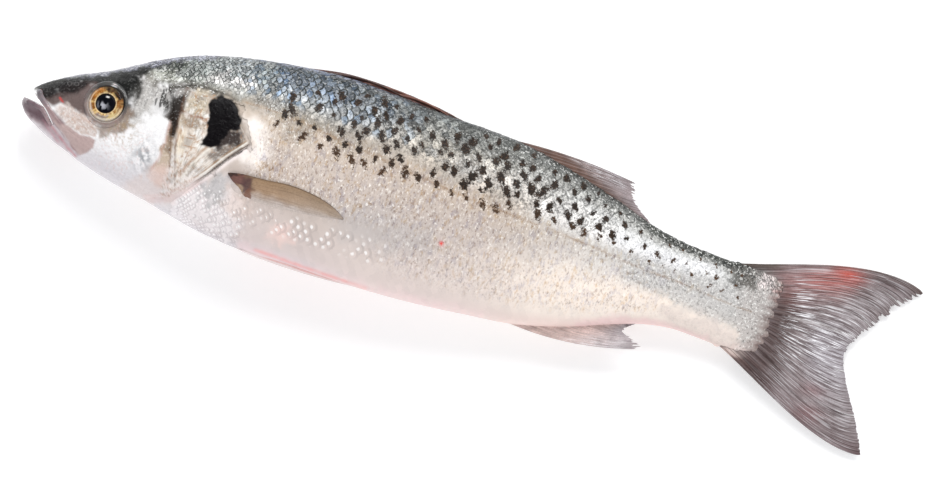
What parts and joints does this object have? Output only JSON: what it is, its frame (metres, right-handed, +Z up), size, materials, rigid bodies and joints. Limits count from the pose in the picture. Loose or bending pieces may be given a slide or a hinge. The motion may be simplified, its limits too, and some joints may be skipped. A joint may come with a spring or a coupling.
{
  "type": "whole sea bass",
  "caption": "Whole raw sea bass lying on its right side, head and fins on, with eyes, gill covers and a forked tail.",
  "frame": {"origin": "on the table, under the middle of the whole fish's bounding box", "axes": "+X from the head to the tail, +Y from the belly to the back, +Z up, out through the left flank"},
  "size_m": [0.3604, 0.0876, 0.045],
  "materials": {
    "skin": "wet silver scales, blue-grey and spotted on the back, cream on the belly",
    "eye": "clear wet cornea over a gold iris and a black pupil",
    "dorsal_fin": "thin reddish-brown membrane over rays",
    "anal_fin": "thin grey-mauve membrane over rays",
    "tail_fin": "wet grey-brown membrane over close rays",
    "pectoral_fin": "smooth tan membrane over fine rays",
    "pelvic_fin": "pale pink membrane"
  },
  "bodies": {
    "root": {"body": "skin", "eye_left": "eye", "eye_right": "eye", "first_dorsal_fin": "dorsal_fin", "second_dorsal_fin": "dorsal_fin", "anal_fin": "anal_fin", "tail_fin": "tail_fin", "pectoral_fin_left": "pectoral_fin", "pectoral_fin_right": "pectoral_fin", "pelvic_fin_left": "pelvic_fin", "pelvic_fin_right": "pelvic_fin"}
  },
  "joints": []
}
